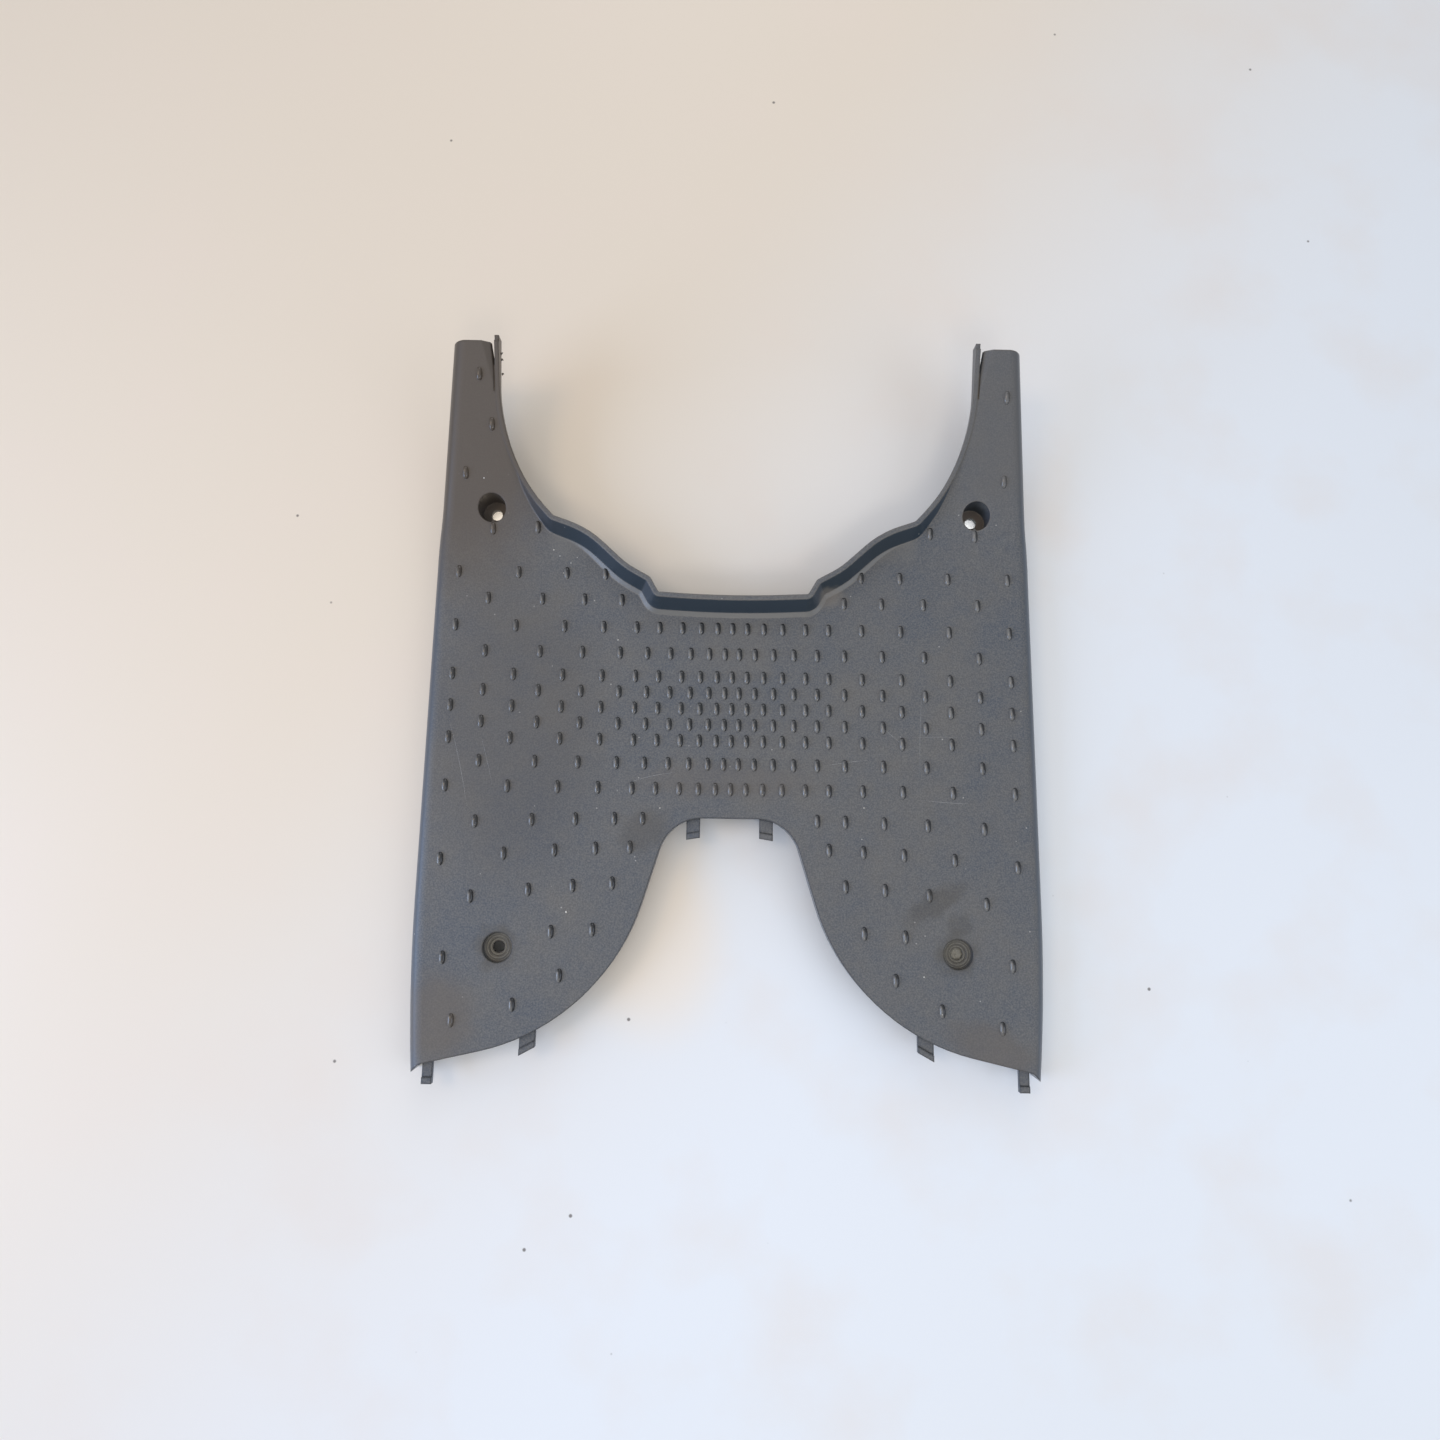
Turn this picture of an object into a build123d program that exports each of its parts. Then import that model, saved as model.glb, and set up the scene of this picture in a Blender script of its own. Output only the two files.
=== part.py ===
"""Scooter floorboard: a one-piece plastic moulding, in millimetres.

Frame: +Y points to the front of the scooter, +Z up and +X to the rider's right.
The origin is at the middle of the box's underside, on the plane that the side skirts stand on.
"""

from build123d import *
import math
import os

# Overall sizes
HALF_WIDTH = 183.6  # between the parallel sides
LENGTH_HALF = 216.5
ARM_END_Y = 213.0
TREAD_Z = 20.0  # flat part of the tread, above the foot of the skirts

# Sides: parallel in the middle, drawn in along the arms, bowed in towards the rear
KINK_Y = 98.0
KINK_R = 200.0
ARM_TAPER_DEG = 6.4
BOW_Y = -169.0
BOW_R = 1000.0
REAR_TAPER_DEG = 6.0

# Wall
WALL = 3.0
EDGE_ROLL_R = 9.0  # outer round along both sides
HOLLOW_CHAMFER = 4.0  # keeps the wall's thickness inside the round
REAR_RIM_DEPTH = 10.0

# Ramp, where the tread bends up into the two arms
RAMP_Y = 104.0  # where the two flats would meet
RAMP_DEG = 17.7
RAMP_R = 130.0

# Raised lip along the front edge, which runs out into the arms
LIP_WALL = 2.6
LIP_HEIGHT = 12.0
LIP_COVE = 9.0  # how far the foot of the lip reaches over the tread
COVE_STEPS = ((-0.05, 1.0), (0.14, 0.6), (1.0, 0.03))  # share of the height, share of the reach
LIP_BEND_R = 160.0
LIP_PROUD = 0.4  # lip above the arm, once it has run out
BLADE_LENGTH = 32.0  # deeper end of the lip, a blade beside each arm end
BLADE_DEPTH = 7.0
BLADE_DROP = 1.0  # of the blade's tip below the line of the tread
GROOVE_LENGTH = 27.0  # between blade and arm
GROOVE_WIDTH = 1.0
GROOVE_DEPTH = 2.0
GAP_LENGTH = 6.0  # where the groove goes right through
SHOULDERS = ((8.0, 3.0), (4.0, 7.0))  # width and drop of the flats that round the arm's end off

# Front edge, right half, from the arm end to the middle: x, y, corner radius
ARM_WIDTH = 41.6
FRONT_EDGE = (
    (HALF_WIDTH - ARM_WIDTH, 149.8, 104.0),
    (109.5, 114.2, 6.0),
    (88.2, 106.8, 60.0),
    (64.0, 84.5, 50.0),
    (49.8, 76.6, 5.0),
    (44.8, 67.6, 2.0),
)
FRONT_MIDDLE_Y = 65.2
FRONT_MIDDLE_R = 600.0

# Rear edge, right half, from the middle to the corner: x, y, corner radius
REAR_EDGE = (
    (35.2, -65.7, 26.0),
    (70.9, -182.4, 120.0),
    (HALF_WIDTH - 11.1, -205.2, 8.0),
)
REAR_CORNER = (HALF_WIDTH - 4.7, -211.2)

# Screw seats
FRONT_SCREW = (HALF_WIDTH - 35.1, 121.0)
REAR_SCREW = (HALF_WIDTH - 51.6, -141.0)
SEAT_R = 8.5
SCREW_R = 3.5
CUP_WALL = 2.5
FRONT_SEAT_Z = 13.5
REAR_SEAT_Z = 17.0
SEAT_FLOOR = 3.0
RING_R = 5.2
RING_DEPTH = 0.8

# Tongues under the rear edge: inner x, width, tip y and its skew over the width
TONGUES = (
    (17.5, 8.0, -77.1, -1.3),
    (108.7, 9.0, -195.9, -4.8),
    (HALF_WIDTH - 17.8, 5.7, -LENGTH_HALF, 0.0),
)
TONGUE_ROOT = 1.4  # how far a tongue starts inside the edge
TONGUE_TOP_Z = 16.0
TONGUE_THICK = 2.6
CATCH_LENGTH = 3.6
CATCH_RISE = 0.8

# Anti-slip nubs; their x is given for a field that ends NUB_SIDE_GAP inside the sides
NUB_LENGTH = 7.5
NUB_WIDTH = 3.2
NUB_HEIGHT = 1.1
NUB_RIDGE = 3.0
NUB_ROOT = 0.6
NUB_SIDE_GAP = 15.6
NUB_FIELD_X = 168.0
COLUMNS_A = (0.0, 9.0, 19.0, 30.3, 44.2, 58.1, 78.2, 101.9, 131.4, 168.0)
COLUMNS_B = (4.3, 13.8, 25.0, 37.2, 51.2, 67.7, 90.5, 116.1, 149.2)
DROP_X = 150.0
# row y at the middle, drop at DROP_X, columns, innermost and outermost x
NUB_ROWS = (
    (82.0, 0.0, COLUMNS_A, 70.0, 170.0),
    (65.5, 0.0, COLUMNS_B, 60.0, 170.0),
    (48.5, 0.0, COLUMNS_A, 0.0, 170.0),
    (32.6, 0.0, COLUMNS_B, 0.0, 170.0),
    (18.4, 0.0, COLUMNS_A, 0.0, 170.0),
    (8.7, 0.0, COLUMNS_B, 0.0, 170.0),
    (-0.9, 0.0, COLUMNS_A, 0.0, 170.0),
    (-10.5, 0.0, COLUMNS_B, 0.0, 170.0),
    (-20.2, 0.0, COLUMNS_A, 0.0, 170.0),
    (-34.0, 0.0, COLUMNS_B, 0.0, 170.0),
    (-48.8, 0.0, COLUMNS_A, 0.0, 170.0),
    (-66.1, 3.5, COLUMNS_B, 45.0, 170.0),
    (-82.1, 7.5, COLUMNS_A, 50.0, 170.0),
    (-101.7, 11.0, COLUMNS_B, 60.0, 170.0),
    (-128.1, 8.0, COLUMNS_A, 70.0, 110.0),
)
NUBS_BOTH_SIDES = (
    (163.0, -147.0),
    (96.0, -156.0),
    (122.0, -172.3),
    (156.0, -181.3),
    (148.0, 108.8),
    (120.5, 110.0),
    (164.0, 140.5),
)
NUBS_LEFT_ARM = ((-154.0, 195.0), (-147.3, 167.7))
NUBS_RIGHT_ARM = ((162.2, 187.0),)

# Stiffening ribs below
RIB_WALL = 2.0
RIB_DEPTH = 7.0
RIBS_ACROSS_Y = (40.0, -30.0)
RIBS_ALONG_X = (62.0, 128.0)
RIBS_ALONG_Y = (-110.0, 60.0)
RIBS_ACROSS_HALF = HALF_WIDTH - 13.6

FAR = 300.0  # well outside the part
OVERLAP = 1.0  # how far joined or cut pieces reach past each other
NEAR = 0.3  # heights this close count as the same

RAMP = math.radians(RAMP_DEG)
SIDE_VIEW = Plane(origin=(0, 0, 0), x_dir=(0, 1, 0), z_dir=(1, 0, 0))
RIGHT_HALF = Pos(0, 0, -FAR) * Box(FAR, 4 * FAR, 2 * FAR, align=(Align.MIN, Align.CENTER, Align.MIN))


def behind(y):
    """All the space behind a plane across the part."""
    return Pos(0, y, 0) * Box(4 * FAR, 4 * FAR, 4 * FAR, align=(Align.CENTER, Align.MAX, Align.CENTER))


def ahead_of(y):
    """All the space ahead of a plane across the part."""
    return Pos(0, y, 0) * Box(4 * FAR, 4 * FAR, 4 * FAR, align=(Align.CENTER, Align.MIN, Align.CENTER))


def tread_at(y):
    """The tread's height at a place along the part, and its slope there in degrees."""
    bend_start = RAMP_Y - RAMP_R * math.tan(RAMP / 2)
    slope = math.asin(min(max((y - bend_start) / RAMP_R, 0.0), math.sin(RAMP)))
    bend_z = TREAD_Z + RAMP_R * (1 - math.cos(slope))
    return max(bend_z, TREAD_Z + (y - RAMP_Y) * math.tan(RAMP)), math.degrees(slope)


def mirror_points(points):
    """The same corners on the other side, in reverse order."""
    return [(-x, y, r) for x, y, r in reversed(points)]


def moved_aside(points, gap):
    """Corners of a polyline moved to its left by gap, with each radius kept parallel."""
    spots = [Vector(x, y) for x, y, _ in points]
    steps = [(b - a).normalized() for a, b in zip(spots, spots[1:])]
    out = []
    for spot, (_, _, r), d_in, d_out in zip(spots, points, steps[:1] + steps, steps + steps[-1:]):
        n_in = Vector(-d_in.Y, d_in.X)
        n_out = Vector(-d_out.Y, d_out.X)
        place = spot + (n_in + n_out) * (gap / (1 + n_in.dot(n_out)))
        turn = d_in.X * d_out.Y - d_in.Y * d_out.X
        out.append((place.X, place.Y, max(r - math.copysign(gap, turn), 1.0)))
    return out


def rounded(points):
    """A wire through the corners with their radii; the two ends stay sharp."""
    return FilletPolyline(*[(x, y) for x, y, _ in points], radius=[r for _, _, r in points[1:-1]])


def over_tread(height):
    """A line in side view, parallel to the tread at a height over it: y, z, corner radius."""
    corner_y = RAMP_Y - height * math.tan(RAMP / 2)
    z = TREAD_Z + height
    end = (corner_y + FAR * math.cos(RAMP), z + FAR * math.sin(RAMP), 0.0)
    return [(-2 * FAR, z, 0.0), (corner_y, z, RAMP_R - height), end]


def over_lip():
    """The top of the lip in side view: level, then bent to run out along the arm."""
    z = TREAD_Z + LIP_HEIGHT
    lift = LIP_HEIGHT - LIP_PROUD / math.cos(RAMP)
    corner_y = RAMP_Y + lift / math.tan(RAMP)
    end = (corner_y + FAR * math.cos(RAMP), z + FAR * math.sin(RAMP), 0.0)
    return [(-2 * FAR, z, 0.0), (corner_y, z, LIP_BEND_R), end]


def layer(low, high):
    """The right-hand layer between two lines in side view."""
    sides = [Line(low[i][:2], high[i][:2]) for i in (0, -1)]
    profile = make_face([rounded(low), rounded(high)] + sides)
    return extrude(SIDE_VIEW * profile, FAR, both=True) & RIGHT_HALF


def band(low, high):
    """The right-hand layer between two heights over the tread."""
    return layer(over_tread(low), over_tread(high))


def inside_side(inset):
    """The right-hand half of the plan within the side, open far ahead and behind."""
    arm = math.radians(ARM_TAPER_DEG)
    rear = math.radians(REAR_TAPER_DEG)
    points = [
        (HALF_WIDTH - FAR * math.sin(arm), KINK_Y + FAR * math.cos(arm), 0.0),
        (HALF_WIDTH, KINK_Y, KINK_R),
        (HALF_WIDTH, BOW_Y, BOW_R),
        (HALF_WIDTH - FAR * math.sin(rear), BOW_Y - FAR * math.cos(rear), 0.0),
    ]
    points = moved_aside(points, -inset)
    ends = [points[-1][:2], (0, points[-1][1]), (0, points[0][1]), points[0][:2]]
    return make_face([rounded(points), Polyline(*ends)])


def front_space(gap):
    """The space ahead of the front edge, grown over the tread by gap."""
    right = [(FRONT_EDGE[0][0], FAR, 0.0)] + list(FRONT_EDGE)
    points = right + [(0.0, FRONT_MIDDLE_Y, FRONT_MIDDLE_R)] + mirror_points(right)
    points = moved_aside(points, gap)
    return make_face([rounded(points), Line(points[-1][:2], points[0][:2])])


def rear_points(gap):
    """Corners of the rear edge from left to right, moved over the tread by gap."""
    corner = REAR_EDGE[-1]
    reach = (3 * REAR_CORNER[0] - 2 * corner[0], 3 * REAR_CORNER[1] - 2 * corner[1], 0.0)
    right = list(REAR_EDGE) + [reach]
    return moved_aside(mirror_points(right) + right, gap)


def rear_space(gap):
    """The space behind the rear edge, grown over the tread by gap."""
    points = rear_points(gap)
    ends = [points[-1][:2], (FAR, -2 * FAR), (-FAR, -2 * FAR), points[0][:2]]
    return make_face([rounded(points), Polyline(*ends)])


def rear_edge_y(x):
    """Where the rear edge lies at a place in the right half, found by halving."""
    edge = rounded(rear_points(0))
    low, high = 0.5, 1.0
    for _ in range(24):
        middle = (low + high) / 2
        if edge.position_at(middle).X < x:
            low = middle
        else:
            high = middle
    return edge.position_at(high).Y


def side_edges(body, lift):
    """The long edges along the side that lie at a height over the tread."""
    chosen = []
    for edge in body.edges():
        mid = edge.position_at(0.5)
        along = abs(edge.position_at(0).Y - edge.position_at(1).Y)
        outside = mid.X > 0.85 * HALF_WIDTH
        if outside and along > 8 and abs(mid.Z - tread_at(mid.Y)[0] - lift) < NEAR:
            chosen.append(edge)
    return chosen


def faceted(outlines):
    """A solid from its flat faces."""
    return Solid(Shell([Face(Wire.make_polygon(outline)) for outline in outlines]))


def nub():
    """One grain-shaped nub of flat facets with a short ridge, on z = 0 with a root below."""
    spread = 1 + NUB_ROOT / NUB_HEIGHT
    a, b = spread * NUB_LENGTH / 2, spread * NUB_WIDTH / 2
    corners = [(b, -0.5 * a), (b, 0.5 * a), (0, a), (-b, 0.5 * a), (-b, -0.5 * a), (0, -a)]
    foot = [Vector(x, y, -NUB_ROOT) for x, y in corners]
    rear = Vector(0, -NUB_RIDGE / 2, NUB_HEIGHT)
    front = Vector(0, NUB_RIDGE / 2, NUB_HEIGHT)
    outlines = [
        list(reversed(foot)),
        [foot[0], foot[1], front, rear],
        [foot[1], foot[2], front],
        [foot[2], foot[3], front],
        [foot[3], foot[4], rear, front],
        [foot[4], foot[5], rear],
        [foot[5], foot[0], rear],
    ]
    return faceted(outlines)


def shoulder(x, width, drop):
    """A wedge that takes the arm's edge along the groove off, more and more towards the arm's end."""
    start_y = ARM_END_Y - GROOVE_LENGTH
    end_y = ARM_END_Y + OVERLAP
    tip = Vector(x, start_y, tread_at(start_y)[0])
    end_z = tread_at(end_y)[0]
    low = Vector(x, end_y, end_z - drop)
    out = Vector(x + width, end_y, end_z)
    high = Vector(x, end_y, end_z + drop)
    return faceted([[tip, low, out], [tip, out, high], [tip, high, low], [low, high, out]])


def nub_places():
    """Plan positions of every nub."""
    places = []
    for y, drop, columns, inner_x, outer_x in NUB_ROWS:
        for x in [x for x in columns if inner_x <= x <= outer_x]:
            here = y - drop * (x / DROP_X) ** 2
            places += [(x, here), (-x, here)] if x else [(x, here)]
    for x, y in NUBS_BOTH_SIDES:
        places += [(x, y), (-x, y)]
    places += list(NUBS_LEFT_ARM) + list(NUBS_RIGHT_ARM)
    stretch = (HALF_WIDTH - NUB_SIDE_GAP) / NUB_FIELD_X
    return [(x * stretch, y) for x, y in places]


# Shell, right half: outer body with a rolled side, less the hollow below
ahead = extrude(front_space(0), FAR)
outer = extrude(inside_side(0), FAR) & band(-TREAD_Z, 0.0)
outer = fillet(side_edges(outer, 0.0), EDGE_ROLL_R) & behind(ARM_END_Y)
outer = outer - ahead - extrude(rear_space(0), FAR)
inside = extrude(inside_side(WALL), FAR)
hollow = inside & band(-REAR_RIM_DEPTH - OVERLAP, -WALL)
hollow = chamfer(side_edges(hollow, -WALL), HOLLOW_CHAMFER) - extrude(rear_space(WALL), FAR)
under = inside & band(-TREAD_Z - OVERLAP, -REAR_RIM_DEPTH)
shell = outer - hollow - under

# Lip along the front edge, with its cove and end blade
strip = extrude(front_space(LIP_WALL), FAR) - ahead
lip_zone = layer(over_tread(-WALL), over_lip()) & behind(ARM_END_Y)
lip = strip & lip_zone
blade_start = ARM_END_Y - BLADE_LENGTH
blade_end = [(LENGTH_HALF, BLADE_DROP), (LENGTH_HALF, BLADE_DEPTH)]
blade_side = []
for y, down in [(blade_start, 0.0)] + blade_end + [(blade_start, WALL)]:
    blade_side.append((y, tread_at(y)[0] - down / math.cos(RAMP)))
blade = strip & extrude(SIDE_VIEW * make_face(Polyline(*blade_side, close=True)), FAR)
cove = loft(
    [
        Plane.XY.offset(TREAD_Z + up * LIP_HEIGHT) * front_space(LIP_WALL + out * LIP_COVE)
        for up, out in COVE_STEPS
    ],
    ruled=True,
)
cove = (cove - ahead) & lip_zone

# Screw seats
cups, seats = [], []
for (x, y), floor_z in ((FRONT_SCREW, FRONT_SEAT_Z), (REAR_SCREW, REAR_SEAT_Z)):
    post = Pos(x, y, floor_z - SEAT_FLOOR) * extrude(Circle(SEAT_R + CUP_WALL), FAR)
    cups.append(post & band(-TREAD_Z, -WALL / 2))
    seats.append(Pos(x, y, floor_z) * extrude(Circle(SEAT_R), FAR))
    seats.append(Pos(x, y, -OVERLAP) * extrude(Circle(SCREW_R), FAR))
seats.append(Pos(*REAR_SCREW, REAR_SEAT_Z - RING_DEPTH) * extrude(Circle(RING_R), FAR))

# Tongues under the rear edge, each with a raised catch at its end
tongues = []
for x, width, tip_y, tip_skew in TONGUES:
    tip = [(x, tip_y), (x + width, tip_y + tip_skew)]
    root = [(at, rear_edge_y(at) + TONGUE_ROOT) for at in (x, x + width)]
    plate = Polyline(*root, tip[1], tip[0], close=True)
    catch_back = [(x + width, tip_y + tip_skew + CATCH_LENGTH), (x, tip_y + CATCH_LENGTH)]
    catch = Polyline(*tip, *catch_back, close=True)
    base = Pos(0, 0, TONGUE_TOP_Z - TONGUE_THICK)
    tongues.append(base * extrude(make_face(plate), TONGUE_THICK))
    tongues.append(base * extrude(make_face(catch), TONGUE_THICK + CATCH_RISE))

# Stiffening ribs, which start inside the wall
rib_z = TREAD_Z - WALL - (RIB_DEPTH - OVERLAP) / 2
rib_high = RIB_DEPTH + OVERLAP
rib_long = RIBS_ALONG_Y[1] - RIBS_ALONG_Y[0]
rib_y = sum(RIBS_ALONG_Y) / 2
ribs = [Pos(x, rib_y, rib_z) * Box(RIB_WALL, rib_long, rib_high) for x in RIBS_ALONG_X]
for y in RIBS_ACROSS_Y:
    ribs.append(Pos(RIBS_ACROSS_HALF / 2, y, rib_z) * Box(RIBS_ACROSS_HALF, RIB_WALL, rib_high))

# Groove between blade and arm, open at its end, and the arm's rounded shoulder beside it
groove_x = FRONT_EDGE[0][0] + LIP_WALL
between = Pos(groove_x + GROOVE_WIDTH / 2, 0, 0) * Box(GROOVE_WIDTH, 4 * FAR, FAR)
groove = between & ahead_of(ARM_END_Y - GROOVE_LENGTH) & band(-GROOVE_DEPTH, LIP_HEIGHT)
gap = between & ahead_of(ARM_END_Y - GAP_LENGTH)
shoulders = [shoulder(groove_x, width, drop) for width, drop in SHOULDERS]

# Nubs, square to the tread
one_nub = nub()
nubs = []
for x, y in nub_places():
    z, slope = tread_at(y)
    nubs.append(Location((x, y, z), (slope, 0, 0)) * one_nub)

right = shell.fuse(lip, blade, cove, *cups, *tongues, *ribs).cut(*seats, groove, gap, *shoulders)
floorboard = right.fuse(right.mirror(Plane.YZ)).clean()
floorboard = floorboard.fuse(*nubs).clean()

os.makedirs("parts", exist_ok=True)
export_step(floorboard, "parts/floorboard.step")
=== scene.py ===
"""Looks of the scooter floorboard: a worn, dusty plastic moulding on a pale table, in metres."""

import math
import random

import bpy
from mathutils import Matrix, Vector


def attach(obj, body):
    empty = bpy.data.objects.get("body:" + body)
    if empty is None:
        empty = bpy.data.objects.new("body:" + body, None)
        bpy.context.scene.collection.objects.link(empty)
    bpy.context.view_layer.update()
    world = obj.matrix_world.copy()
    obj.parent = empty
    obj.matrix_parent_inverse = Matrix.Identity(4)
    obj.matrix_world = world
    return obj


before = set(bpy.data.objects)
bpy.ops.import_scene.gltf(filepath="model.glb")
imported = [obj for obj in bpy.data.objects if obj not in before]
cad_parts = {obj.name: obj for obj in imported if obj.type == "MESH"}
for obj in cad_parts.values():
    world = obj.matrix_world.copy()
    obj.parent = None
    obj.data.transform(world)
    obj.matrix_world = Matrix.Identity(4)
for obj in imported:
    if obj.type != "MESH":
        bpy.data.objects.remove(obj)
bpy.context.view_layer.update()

MM = 0.001

# Tread: a flat plate that bends up into two straight ramps, the front arms
TREAD_Z = 20 * MM
RAMP_Y = 104 * MM
RAMP = math.radians(17.7)
RAMP_R = 130 * MM
LIP_REAR_Y = 52 * MM  # the lip lies in front of this
LIP_HALF_WIDTH = 116 * MM  # and between the arms

# Nub domes, a little larger than the faceted grains that they cover
NUB_LENGTH = 7.7 * MM
NUB_WIDTH = 3.6 * MM
NUB_HEIGHT = 1.6 * MM
NUB_ROOT = 0.4 * MM
NUB_PLAN_POWER = 2.6  # 2 is an ellipse, more is squarer
NUB_SEGMENTS = 28
NUB_RINGS = 6
NUB_LIT_SIDE = (-0.8, -0.5, 0.35)  # the nub keeps its dusty tone on the flank facing this way, towards the windows, and is painted dark as shade on the other
DROP_X = 150.0  # mm from the middle, where a row's drop is given
COLUMNS_A = (0.0, 9.0, 19.0, 30.3, 44.2, 58.1, 78.2, 101.9, 131.4, 168.0)
COLUMNS_B = (4.3, 13.8, 25.0, 37.2, 51.2, 67.7, 90.5, 116.1, 149.2)
# Row y at the middle and drop at DROP_X, columns, innermost and outermost x, all in mm
NUB_ROWS = (
    (82.0, 0.0, COLUMNS_A, 70.0, 170.0),
    (65.5, 0.0, COLUMNS_B, 60.0, 170.0),
    (48.5, 0.0, COLUMNS_A, 0.0, 170.0),
    (32.6, 0.0, COLUMNS_B, 0.0, 170.0),
    (18.4, 0.0, COLUMNS_A, 0.0, 170.0),
    (8.7, 0.0, COLUMNS_B, 0.0, 170.0),
    (-0.9, 0.0, COLUMNS_A, 0.0, 170.0),
    (-10.5, 0.0, COLUMNS_B, 0.0, 170.0),
    (-20.2, 0.0, COLUMNS_A, 0.0, 170.0),
    (-34.0, 0.0, COLUMNS_B, 0.0, 170.0),
    (-48.8, 0.0, COLUMNS_A, 0.0, 170.0),
    (-66.1, 3.5, COLUMNS_B, 45.0, 170.0),
    (-82.1, 7.5, COLUMNS_A, 50.0, 170.0),
    (-101.7, 11.0, COLUMNS_B, 60.0, 170.0),
    (-128.1, 8.0, COLUMNS_A, 70.0, 110.0),
)
# Nubs outside the rows, around the rear seats and on the arms, in mm
NUBS_BOTH_SIDES = (
    (163.0, -147.0),
    (96.0, -156.0),
    (122.0, -172.3),
    (156.0, -181.3),
    (148.0, 108.8),
    (120.5, 110.0),
    (164.0, 140.5),
)
NUBS_ONE_SIDE = ((-154.0, 195.0), (-147.3, 167.7), (162.2, 187.0))

# Stains with ragged outlines, and patches of painted light: centre and half sizes in mm, turn in
# degrees, strength, colour
STAINS_AND_PAINTED_LIGHT = (
    ((-165, 175, 45), (80, 150, 80), 0, 0.9, "#4F463C"),  # painted light on the raised arms: darker and browner on the left, a darker grey on the right
    ((160, 180, 45), (50, 90, 60), 0, 0.5, "#5B5956"),
    ((119, -113, 20), (27, 9, 12), 32, 0.42, "#3F3B35"),  # oily smudges
    ((133, -125, 20), (9, 8, 12), 0, 0.36, "#423F3A"),
    ((-50, -74, 20), (20, 15, 12), 30, 0.4, "#474440"),
    ((-165, -180, 20), (30, 34, 12), 0, 0.55, "#5C544B"),  # brown dust along the rear edge
    ((150, -192, 20), (36, 16, 12), -20, 0.5, "#5A544E"),
    ((0, -44, 20), (70, 14, 12), 0, 0.35, "#5F5953"),
    ((132, -141, 17), (17, 17, 9), 0, 0.8, "#47443E"),  # mud dried in the rear seats
    ((-132, -141, 17), (17, 17, 9), 0, 0.8, "#47433C"),
    ((132, -141, 17), (9.5, 9.5, 9), 0, 0.8, "#5E5B52"),
    ((-132, -141, 17), (9.0, 9.0, 9), 0, 0.8, "#5F5A4F"),
    ((-130, -10, 20), (70, 120, 12), 0, 0.4, "#4A4744"),  # painted light: darker and warmer over the left of the tread
    ((57, 70, 20), (14, 9, 9), 0, 0.6, "#77726B"),  # a pale patch at the lip's corner
)
STAIN_RAGGED = 10 * MM  # room that their outlines wander in

# Scratches on the tread: ends, width and bow aside, in mm
SCRATCHES = (
    ((-168.9, -6.5), (-153.3, -65.5), 0.65, 1.0),
    ((55.3, -33.9), (83.7, -29.8), 0.75, 0.4),
    ((111.8, -53.0), (142.3, -54.8), 0.8, -0.4),
    ((-62.7, -46.5), (-29.8, -38.8), 0.75, 1.2),
    ((114.3, 12.9), (112.0, -42.4), 0.55, -0.6),
    ((105.3, -16.3), (138.7, -15.7), 0.55, 0.5),
    ((-149.0, -18.0), (-140.0, -49.0), 0.55, 0.4),
    ((88.0, -8.0), (104.0, -22.0), 0.55, -0.3),
)
SCRATCH_STEPS = 10
SCRATCH_LIFT = 0.05  # mm that its ridge stands up
SCRATCH_ROOT = 0.2  # mm that it goes into the tread
SCRATCH_TIP = 0.1  # share of its width left at the ends

# Pale grit stuck to the tread: centre and radius in mm
GRIT = (
    ((-41.1, -60.2), 0.5),
    ((-93.5, -120.6), 0.8),
    ((112.0, -153.6), 0.55),
    ((78.7, -58.2), 0.5),
    ((24.4, -24.8), 0.4),
    ((-110.4, 96.4), 0.6),
    ((-106.6, 92.7), 0.4),
    ((-99.7, 88.4), 0.5),
    ((-69.2, 40.5), 0.5),
    ((-152.9, 137.6), 0.5),
    ((-104.0, 82.0), 0.4),
    ((-96.0, 92.0), 0.35),
)
GRIT_SIDES = 6
GRIT_LEVELS = ((1.0, -0.48), (0.8, 0.4))  # reach and height of a grain's rings, in radii
GRIT_TOP = 0.6
GRIT_UNEVEN = (0.75, 1.1)  # least and greatest share of that reach

# Torn plastic on the edges: place and length in mm, way that it points
BURRS = (
    ((-141.2, 206.0, 52.0), 5.0, (1, 0.3)),
    ((-140.8, 203.0, 51.0), 3.0, (1, -0.2)),
    ((-140.6, 195.0, 48.6), 3.5, (1, 0.1)),
    ((182.85, -137.0, 9.0), 1.6, (1, 0.4)),
    ((182.85, -143.0, 9.5), 1.6, (1, -0.5)),
    ((182.75, -147.0, 9.0), 1.9, (1, 0.2)),
    ((182.75, -149.5, 9.0), 1.7, (1, -0.2)),
    ((182.65, -154.5, 9.5), 1.8, (1, -0.3)),
)
BURR_STEPS = 4
BURR_REACH = 0.35  # share of its length that it stands out
BURR_BEND = (0.1, 0.3)  # share of its length that its tip goes aside
BURR_SAG = (0.2, 0.9)  # mm that its tip hangs down
BURR_HALF_WIDTH = (0.5, 0.9)  # mm at its root
BURR_TAPER = 0.8  # share of its width lost at its tip
BURR_HALF_THICKNESS = (0.45, 0.2)  # mm at its root and its tip

# Dirt packed in the grooves beside the blades
GROOVE_X = 145.1 * MM
DIRT_START_Y = 185.7 * MM
DIRT_LENGTH = 15 * MM
DIRT_WIDTH = 1.1 * MM
DIRT_ROOT = 2.1 * MM
DIRT_DEPTH = (0.25 * MM, 1.55 * MM)  # of its top below the tread, at its start and its end
DIRT_UNEVEN = 0.15 * MM
DIRT_STEPS = 12

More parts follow.
